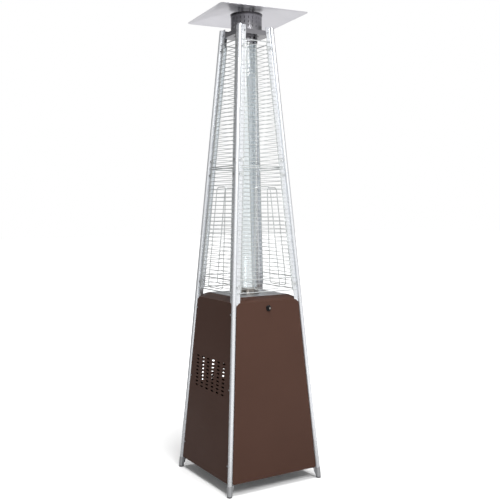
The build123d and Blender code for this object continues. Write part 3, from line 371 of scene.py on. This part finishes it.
# Drawn copper is reddish, and glossy along its length.
copper = brushed_metal("drawn copper", "#b8704b", "#8d5236", 0.33, 0.06, 0.1)
# The reflector is polished but not a mirror: it shows the head below it as a soft, dark cloud.
mirror_metal = brushed_metal("polished reflector aluminium", "#e0dfe4", "#d4d3d8", 0.34, 0.04, 0.02,
                             along="X")
print("metals", len(bpy.data.materials))

# %% [markdown]
# ## The painted shade on the lid of the head
# #
# # The lid sits right over the flame and just under the reflector, and its top looks dark there. That dark
# # band is painted shade in the lid's colour, not a colour of the steel. It shares the satin steel of the
# # head, so the painted shade is mixed into that steel by height: none below the lid's skirt, and all of it
# # from there upwards.

# %% Painted shade on the head's lid
# Heights where the painted shade on the lid begins and where it is full.
LID_SHADE_FROM, LID_SHADE_FULL = 2260 * MM, 2266 * MM
# The dark grey painted into the lid as shade.
LID_SHADE_COLOUR = "#454346"
tree = satin_steel.node_tree
shader = tree.nodes["Principled BSDF"]
plain_steel = shader.inputs["Base Color"].links[0].from_socket
coords = add_node(tree, "ShaderNodeTexCoord")
height = add_node(tree, "ShaderNodeSeparateXYZ", {0: coords.outputs["Object"]})
# The mask of the painted shade by height: 0 below the lid's skirt, 1 from its top upwards.
heat = add_node(tree, "ShaderNodeMapRange",
                {"Value": height.outputs["Z"], "From Min": LID_SHADE_FROM, "From Max": LID_SHADE_FULL})
shaded_lid_steel = add_node(tree, "ShaderNodeMixRGB", {0: heat.outputs[0], 1: plain_steel, 2: linear(LID_SHADE_COLOUR)})
tree.links.new(shaded_lid_steel.outputs[0], shader.inputs["Base Color"])
print("heat tint above", round(LID_SHADE_FROM, 3), "m")

# %% [markdown]
# ## The brown paint
#
# The base is powder coated: a thick, tough paint that melts flat in an oven, with a soft sheen and a very
# shallow waviness like orange peel. The colour is a warm dark brown, and it varies only a little. The
# waviness is about 2 mm across on the real panel, and it is drawn as it is.

# %% Powder coat
PEEL_SIZE = 2.0 * MM
PEEL_RELIEF = 0.08 * MM
PATCH_SIZE = 260 * MM
PAINT_GLOSSIEST, PAINT_DULLEST = 0.38, 0.46
# Most of a noise pattern lies between these two values.
NOISE_LOW, NOISE_HIGH = 0.3, 0.7

# Powder coat is even and warm, with a soft sheen where it faces the light and no clear mirror image.
brown_paint, tree, shader = new_material("brown powder coat")
coords = add_node(tree, "ShaderNodeTexCoord")
patches, peel = [
    add_node(tree, "ShaderNodeTexNoise",
             {"Vector": coords.outputs["Object"], "Scale": 1 / size, "Detail": detail})
    for size, detail in ((PATCH_SIZE, 3.0), (PEEL_SIZE, 2.0))]
tint = add_node(tree, "ShaderNodeMixRGB",
                {0: patches.outputs["Fac"], 1: linear("#563c32"), 2: linear("#4e362d")})
gloss = add_node(tree, "ShaderNodeMapRange", {
    "Value": patches.outputs["Fac"], "From Min": NOISE_LOW, "From Max": NOISE_HIGH,
    "To Min": PAINT_GLOSSIEST, "To Max": PAINT_DULLEST})
bump = add_node(tree, "ShaderNodeBump",
                {"Height": peel.outputs["Fac"], "Strength": 0.12, "Distance": PEEL_RELIEF})
set_constants(shader, Specular_IOR_Level=0.17)
link_finish(tree, shader, tint, gloss, bump)
print("paint nodes", len(tree.nodes))

# %% [markdown]
# ## Glass
#
# The flame tube is clear borosilicate glass, which takes the heat of the flame. It has almost no colour
# of its own and a refractive index of 1.47. Its look comes from the light that its walls bend, so the
# material only needs to let light through.

# %% Clear glass
# Drawn glass is smooth and clear: bright where it mirrors the studio, darker along its edges.
clear_glass, tree, shader = new_material("clear borosilicate glass")
set_constants(shader, Base_Color=linear("#f4f7f8"), Roughness=0.02, IOR=1.47, Transmission_Weight=1.0)
print("glass lets through", shader.inputs["Transmission Weight"].default_value)

# %% [markdown]
# ## Plastic, rubber and ceramic
#
# The knob and its bezel are moulded in black plastic, and the foot pads in rubber. A mould leaves a faint
# grain in the surface, finer than can be seen from here, so it mostly breaks up the gloss. The igniter's
# sleeve is glazed ceramic, whose glaze pools slightly. One function makes all of them.

# %% The moulded and glazed finishes
GRAIN_RELIEF = 0.1 * MM
GLOSS_SPREAD = 0.05


def moulded(name, colour, lighter, roughness, grain_size, relief, specular=0.5):
    """A moulded material with a fine grain in its colour, gloss and surface."""
    material, tree, shader = new_material(name)
    coords = add_node(tree, "ShaderNodeTexCoord")
    grain = add_node(tree, "ShaderNodeTexNoise",
                     {"Vector": coords.outputs["Object"], "Scale": 1 / grain_size, "Detail": 3.0})
    tint = add_node(tree, "ShaderNodeMixRGB",
                    {0: grain.outputs["Fac"], 1: linear(colour), 2: linear(lighter)})
    gloss = add_node(tree, "ShaderNodeMapRange", {
        "Value": grain.outputs["Fac"], "From Min": NOISE_LOW, "From Max": NOISE_HIGH,
        "To Min": roughness - GLOSS_SPREAD, "To Max": roughness + GLOSS_SPREAD})
    bump = add_node(tree, "ShaderNodeBump",
                    {"Height": grain.outputs["Fac"], "Strength": relief, "Distance": GRAIN_RELIEF})
    set_constants(shader, Specular_IOR_Level=specular)
    link_finish(tree, shader, tint, gloss, bump)
    return material


# Black plastic with a fine grain is deep black, with only a faint broad shine.
black_plastic = moulded("black moulded plastic", "#060607", "#0d0d0e", 0.5, 0.8 * MM, 0.2, specular=0.25)
# The cap's plastic is smoother and mid grey, so it stands out from the knob.
pale_plastic = moulded("grey plastic cap", "#8f8782", "#7d7570", 0.42, 0.8 * MM, 0.1)
# Rubber is dark and scatters light softly.
rubber = moulded("dark grey rubber", "#2b2b2c", "#3a3a3b", 0.75, 1.2 * MM, 0.4)
# Glaze makes the white ceramic clean and glossy.
ceramic = moulded("glazed ceramic", "#f1ece2", "#e6dfd2", 0.2, 4 * MM, 0.1)
print("materials", len(bpy.data.materials))

# %% [markdown]
# ## Finishes onto the solids
#
# The record says which finish each solid has. Going through that list gives every solid its material, so
# no solid is forgotten, and a piece modelled later takes the same material by the same name.

# %% Give each solid its finish
finishes = {
    "post_metal": satin_aluminium,
    "brown_paint": brown_paint,
    "deck_steel": deck_steel,
    "head_steel": satin_steel,
    "burner_steel": burner_steel,
    "inner_steel": zinc_steel,
    "screw_steel": screw_steel,
    "guard_wire": bright_wire,
    "mirror_metal": mirror_metal,
    "clear_glass": clear_glass,
    "foot_casting": cast_aluminium,
    "foot_rubber": rubber,
    "black_plastic": black_plastic,
    "pale_plastic": pale_plastic,
    "brass": brass,
    "copper": copper,
    "pipe_metal": cast_aluminium,
    "valve_casting": cast_aluminium,
    "igniter_ceramic": ceramic,
}
for part in frame["record"]["subparts"]:
    solid = frame["nodes"][part["node"]]
    solid.data.materials.clear()
    solid.data.materials.append(finishes[part["material_slot"]])

# %% [markdown]
# ## Helpers for the pieces modelled here
#
# Every new piece below is made as by hand: a primitive is added at its place, opened in edit mode, shaped
# with edit operators, and finished with modifiers. These helpers select parts of the open mesh by their
# place, apply a modifier, and settle the finished piece: its place goes into its mesh, it gets its
# finish, it rides on its body, and it stands for the solid that it replaces.

# %% Helpers for modelling
SMOOTH_BELOW = math.radians(30)


def open_mesh(name):
    """Names the active piece and opens it in edit mode with everything selected."""
    bpy.context.object.name = name
    bpy.ops.object.mode_set(mode="EDIT")
    bpy.ops.mesh.select_all(action="SELECT")


def pick(kind, test):
    """Selects the faces or vertices of the open mesh whose middle and element pass a test."""
    bpy.ops.mesh.select_mode(type=kind)
    bpy.ops.mesh.select_all(action="DESELECT")
    mesh = bmesh.from_edit_mesh(bpy.context.object.data)
    for element in mesh.faces if kind == "FACE" else mesh.verts:
        middle = element.calc_center_median() if kind == "FACE" else element.co
        if test(middle, element):
            element.select_set(True)
    mesh.select_flush_mode()
    bmesh.update_edit_mesh(bpy.context.object.data)


def apply_modifier(kind, **settings):
    """Adds one modifier to the active piece and applies it."""
    piece = bpy.context.object
    modifier = piece.modifiers.new(kind.lower(), kind)
    for name, value in settings.items():
        setattr(modifier, name, value)
    bpy.ops.object.modifier_apply(modifier=modifier.name)


def round_edges(width, segments, sharper_than):
    """Bevels the edges of the active piece that turn by more than an angle in degrees."""
    apply_modifier("BEVEL", width=width, segments=segments, limit_method="ANGLE",
                   angle_limit=math.radians(sharper_than))


def settle(body, slot, *nodes):
    """Closes the active piece: place, smooth shading, finish, body and the solids it replaces."""
    piece = bpy.context.object
    bpy.ops.object.transform_apply(location=True, rotation=True, scale=True)
    bpy.ops.object.shade_smooth_by_angle(angle=SMOOTH_BELOW)
    piece.data.materials.clear()
    piece.data.materials.append(finishes[slot])
    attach(piece, body)
    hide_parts(*nodes)
    bpy.ops.object.select_all(action="DESELECT")
    print(piece.name, "faces", len(piece.data.polygons))


# %% [markdown]
# ## The reflector
#
# The real reflector is one thin sheet of polished aluminium, pressed into a shallow square dish with a
# flat middle. Its corners are rounded and hang a little lower than the middles of its edges. It is made
# from a plane: its corners are bevelled round, the rim is inset, and the middle is then extruded inwards
# and up in steps, so the slope is slightly domed. Proportional editing lowers the corners softly, and
# Solidify gives the sheet its thickness.

# %% Model the reflector
REFLECTOR_HALF = 226.5 * MM
REFLECTOR_CORNER = 26 * MM
CORNER_SEGMENTS = 8
REFLECTOR_TURN = math.radians(-6)
REFLECTOR_SHEET = 1.2 * MM
RIM_WIDTH = 6 * MM
CORNER_DROOP = -5 * MM
DROOP_REACH = 110 * MM
CORNER_FROM = 1.25 * REFLECTOR_HALF
# Each step: the width that is left, as a share of the dish, and the rise in millimetres.
DISH_STEPS = (
    (0.90, 4.6), (0.80, 4.4), (0.70, 4.4), (0.60, 4.2),
    (0.50, 4.0), (0.40, 3.4), (0.30, 2.2), (0.24, 0.6),
)

reflector_low, reflector_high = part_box("reflector")
bpy.ops.mesh.primitive_plane_add(size=2 * REFLECTOR_HALF, location=(0, 0, reflector_low[2]))
open_mesh("reflector_dish")
bpy.ops.mesh.bevel(offset=REFLECTOR_CORNER, segments=CORNER_SEGMENTS, affect="VERTICES")
pick("FACE", lambda middle, face: True)
bpy.ops.mesh.inset(thickness=RIM_WIDTH)
width_before = 1.0
for width, rise in DISH_STEPS:
    bpy.ops.mesh.extrude_region_move()
    narrower = width / width_before
    bpy.ops.transform.resize(value=(narrower, narrower, 1), center_override=(0, 0, 0))
    bpy.ops.transform.translate(value=(0, 0, rise * MM))
    width_before = width
pick("VERT", lambda place, vertex: math.hypot(place.x, place.y) > CORNER_FROM)
bpy.ops.transform.translate(value=(0, 0, CORNER_DROOP), use_proportional_edit=True,
                            proportional_size=DROOP_REACH, proportional_edit_falloff="SMOOTH")
bpy.ops.mesh.select_all(action="SELECT")
bpy.ops.mesh.normals_make_consistent(inside=False)
bpy.ops.object.mode_set(mode="OBJECT")
bpy.context.object.rotation_euler.z = REFLECTOR_TURN
apply_modifier("SOLIDIFY", thickness=REFLECTOR_SHEET, offset=0)
settle("frame", "mirror_metal", "reflector")
print("the solid reflector reaches from", round(reflector_low[2], 4), "to", round(reflector_high[2], 4), "m")

# %% [markdown]
# ## The glass tube
#
# A drawn glass tube has two smooth walls and ends that are melted round, and all its look comes from the
# way light bends at those walls. Flat facets would break that, so the tube is an open cylinder of many
# sides, given its wall with Solidify, with its sharp ends rounded by Bevel.

# %% Model the glass tube
GLASS_WALL = 2.5 * MM
GLASS_END_ROUNDING = 0.8 * MM
GLASS_SIDES = 128

glass_low, glass_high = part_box("glass_tube")
bpy.ops.mesh.primitive_cylinder_add(
    vertices=GLASS_SIDES, radius=(glass_high[0] - glass_low[0]) / 2, depth=glass_high[2] - glass_low[2],
    end_fill_type="NOTHING", location=(0, 0, (glass_low[2] + glass_high[2]) / 2))
bpy.context.object.name = "flame_glass"
apply_modifier("SOLIDIFY", thickness=GLASS_WALL, offset=-1)
round_edges(GLASS_END_ROUNDING, segments=3, sharper_than=50)
settle("frame", "clear_glass", "glass_tube")

# %% [markdown]
# ## The place of the knob
#
# The knob and its cap are round and easiest to model upright at the origin. When they are done, each is
# turned to face out of the leaning door and moved to its place on it, so one helper does that for both.

# %% Place on the door
DOOR_OUT = 5 * MM
KNOB_HEIGHT = 853 * MM
FACING_OUT = math.pi / 2 - LEAN_ANGLE
NEARLY_UP = 0.9
knob_place = Vector((
    0,
    -half_at(KNOB_HEIGHT) - DOOR_OUT * math.cos(LEAN_ANGLE),
    KNOB_HEIGHT + DOOR_OUT * math.sin(LEAN_ANGLE),
))


def faces_up(middle, face):
    """Whether a face of the upright piece looks up."""
    return face.normal.z > NEARLY_UP


def put_on_the_door():
    """Turns the upright piece out of the door and moves it to the knob's place."""
    piece = bpy.context.object
    piece.rotation_euler.x = FACING_OUT
    piece.location = knob_place + Matrix.Rotation(FACING_OUT, 4, "X") @ piece.location


print("knob at", [round(v, 4) for v in knob_place])

# %% [markdown]
# ## The knob
#
# The control knob is moulded in black plastic: a round skirt that runs in the bezel, and a grip with
# twelve flutes for the fingers. It is made from one cylinder: the top is inset and pulled up for the
# grip, then inset and pushed down for the cap's seat. Each flute is a pair of the grip's corner rows
# drawn towards the axis, and Bevel softens all the edges, as the mould does.

# %% Model the knob
KNOB_SKIRT = 10.6 * MM
KNOB_GRIP = 8.6 * MM
KNOB_OUT = 13 * MM
KNOB_BACK = 8.5 * MM
KNOB_EDGE = 0.35 * MM
GRIP_STEP = 4 * MM
CAP_SEAT = 4.8 * MM
CAP_SEAT_DEPTH = 0.8 * MM
KNOB_SIDES = 72
FLUTES = 12
FLUTE_SHARE = 0.88
GRIP_TOLERANCE = KNOB_GRIP / 50


def in_a_flute(place, vertex):
    """Whether a corner of the grip's outer wall belongs to a flute."""
    row = round(math.degrees(math.atan2(place.y, place.x)) / (360 / KNOB_SIDES))
    on_the_grip = abs(math.hypot(place.x, place.y) - KNOB_GRIP) < GRIP_TOLERANCE
    return on_the_grip and row % (KNOB_SIDES // FLUTES) in (0, 1)


skirt_middle = (0, 0, (GRIP_STEP - KNOB_BACK) / 2)
bpy.ops.mesh.primitive_cylinder_add(vertices=KNOB_SIDES, radius=KNOB_SKIRT, depth=KNOB_BACK + GRIP_STEP,
                                    location=skirt_middle)
open_mesh("fluted_knob")
pick("FACE", faces_up)
bpy.ops.mesh.inset(thickness=KNOB_SKIRT - KNOB_GRIP)
bpy.ops.mesh.extrude_region_move()
bpy.ops.transform.translate(value=(0, 0, KNOB_OUT - GRIP_STEP))
bpy.ops.mesh.inset(thickness=KNOB_GRIP - CAP_SEAT)
bpy.ops.mesh.extrude_region_move()
bpy.ops.transform.translate(value=(0, 0, -CAP_SEAT_DEPTH))
pick("VERT", in_a_flute)
bpy.ops.transform.resize(value=(FLUTE_SHARE, FLUTE_SHARE, 1), center_override=skirt_middle)
bpy.ops.object.mode_set(mode="OBJECT")
round_edges(KNOB_EDGE, segments=2, sharper_than=35)
put_on_the_door()
settle("knob_turn", "black_plastic", "knob")

# %% [markdown]
# ## The knob's cap
#
# A small grey button closes the middle of the knob. It is a short cylinder whose top is inset and pressed
# in a little, so that its rim catches the light, with its edges bevelled.

# %% Model the cap
CAP_OUT = 1.2 * MM
CAP_EDGE = 0.3 * MM
CAP_PRESSED = 0.3 * MM
CAP_RIM = 0.96 * MM
CAP_SLOPE = 0.6 * MM
CAP_SIDES = 48

bpy.ops.mesh.primitive_cylinder_add(vertices=CAP_SIDES, radius=CAP_SEAT, depth=CAP_SEAT_DEPTH + CAP_OUT,
                                    location=(0, 0, KNOB_OUT + (CAP_OUT - CAP_SEAT_DEPTH) / 2))
open_mesh("pressed_cap")
pick("FACE", faces_up)
bpy.ops.mesh.inset(thickness=CAP_RIM)
bpy.ops.mesh.inset(thickness=CAP_SLOPE)
bpy.ops.transform.translate(value=(0, 0, -CAP_PRESSED))
bpy.ops.object.mode_set(mode="OBJECT")
round_edges(CAP_EDGE, segments=3, sharper_than=40)
put_on_the_door()
settle("knob_turn", "pale_plastic", "knob_cap")

# %% [markdown]
# ## The solids that keep their shape
#
# The posts, guards, panels, rings and fasteners already have their right shape. Their faces come as loose
# triangles, which can only look faceted. So each gets a twin: a copy whose loose corners are merged and
# whose curved faces are shaded smooth. On sheets, tubes and feet the twin's flat faces also become single
# faces, and its sharp edges are rounded a little, as on any real sheet or tube. Weighted normals keep the
# flat faces flat beside the rounded edges. Edges as fine as on the wires and screws are not rounded,
# because nobody could see it.

# %% Smooth twins of the solids
MERGE_BELOW = 0.01 * MM
SHEET_EDGE = 0.35 * MM
TUBE_EDGE = 0.6 * MM
FLAT_BELOW = math.radians(0.5)
ROUNDED = {
    "brown_paint": SHEET_EDGE,
    "head_steel": SHEET_EDGE,
    "deck_steel": SHEET_EDGE,
    "post_metal": TUBE_EDGE,
    "foot_casting": TUBE_EDGE,
    "foot_rubber": TUBE_EDGE,
}
NEW_SHAPES = {"reflector", "glass_tube", "knob", "knob_cap"}
body_of = {node: body for body, nodes in frame["record"]["behaviour"]["bodies"].items() for node in nodes}


def smooth_twin(node, slot, rounding):
    """A merged and smooth copy of a solid, which stands for it."""
    twin = frame["nodes"][node].copy()
    twin.data = frame["nodes"][node].data.copy()
    twin.name = node + "_smooth"
    bpy.context.collection.objects.link(twin)
    bpy.context.view_layer.objects.active = twin
    twin.select_set(True)
    apply_modifier("WELD", merge_threshold=MERGE_BELOW)
    if rounding:
        open_mesh(twin.name)
        bpy.ops.mesh.dissolve_limited(angle_limit=FLAT_BELOW)
        bpy.ops.object.mode_set(mode="OBJECT")
        round_edges(rounding, segments=2, sharper_than=40)
    settle(body_of[node], slot, node)
    apply_modifier("WEIGHTED_NORMAL", keep_sharp=True, weight=100)


for part in frame["record"]["subparts"]:
    if part["node"] not in NEW_SHAPES:
        smooth_twin(part["node"], part["material_slot"], ROUNDED.get(part["material_slot"], 0))
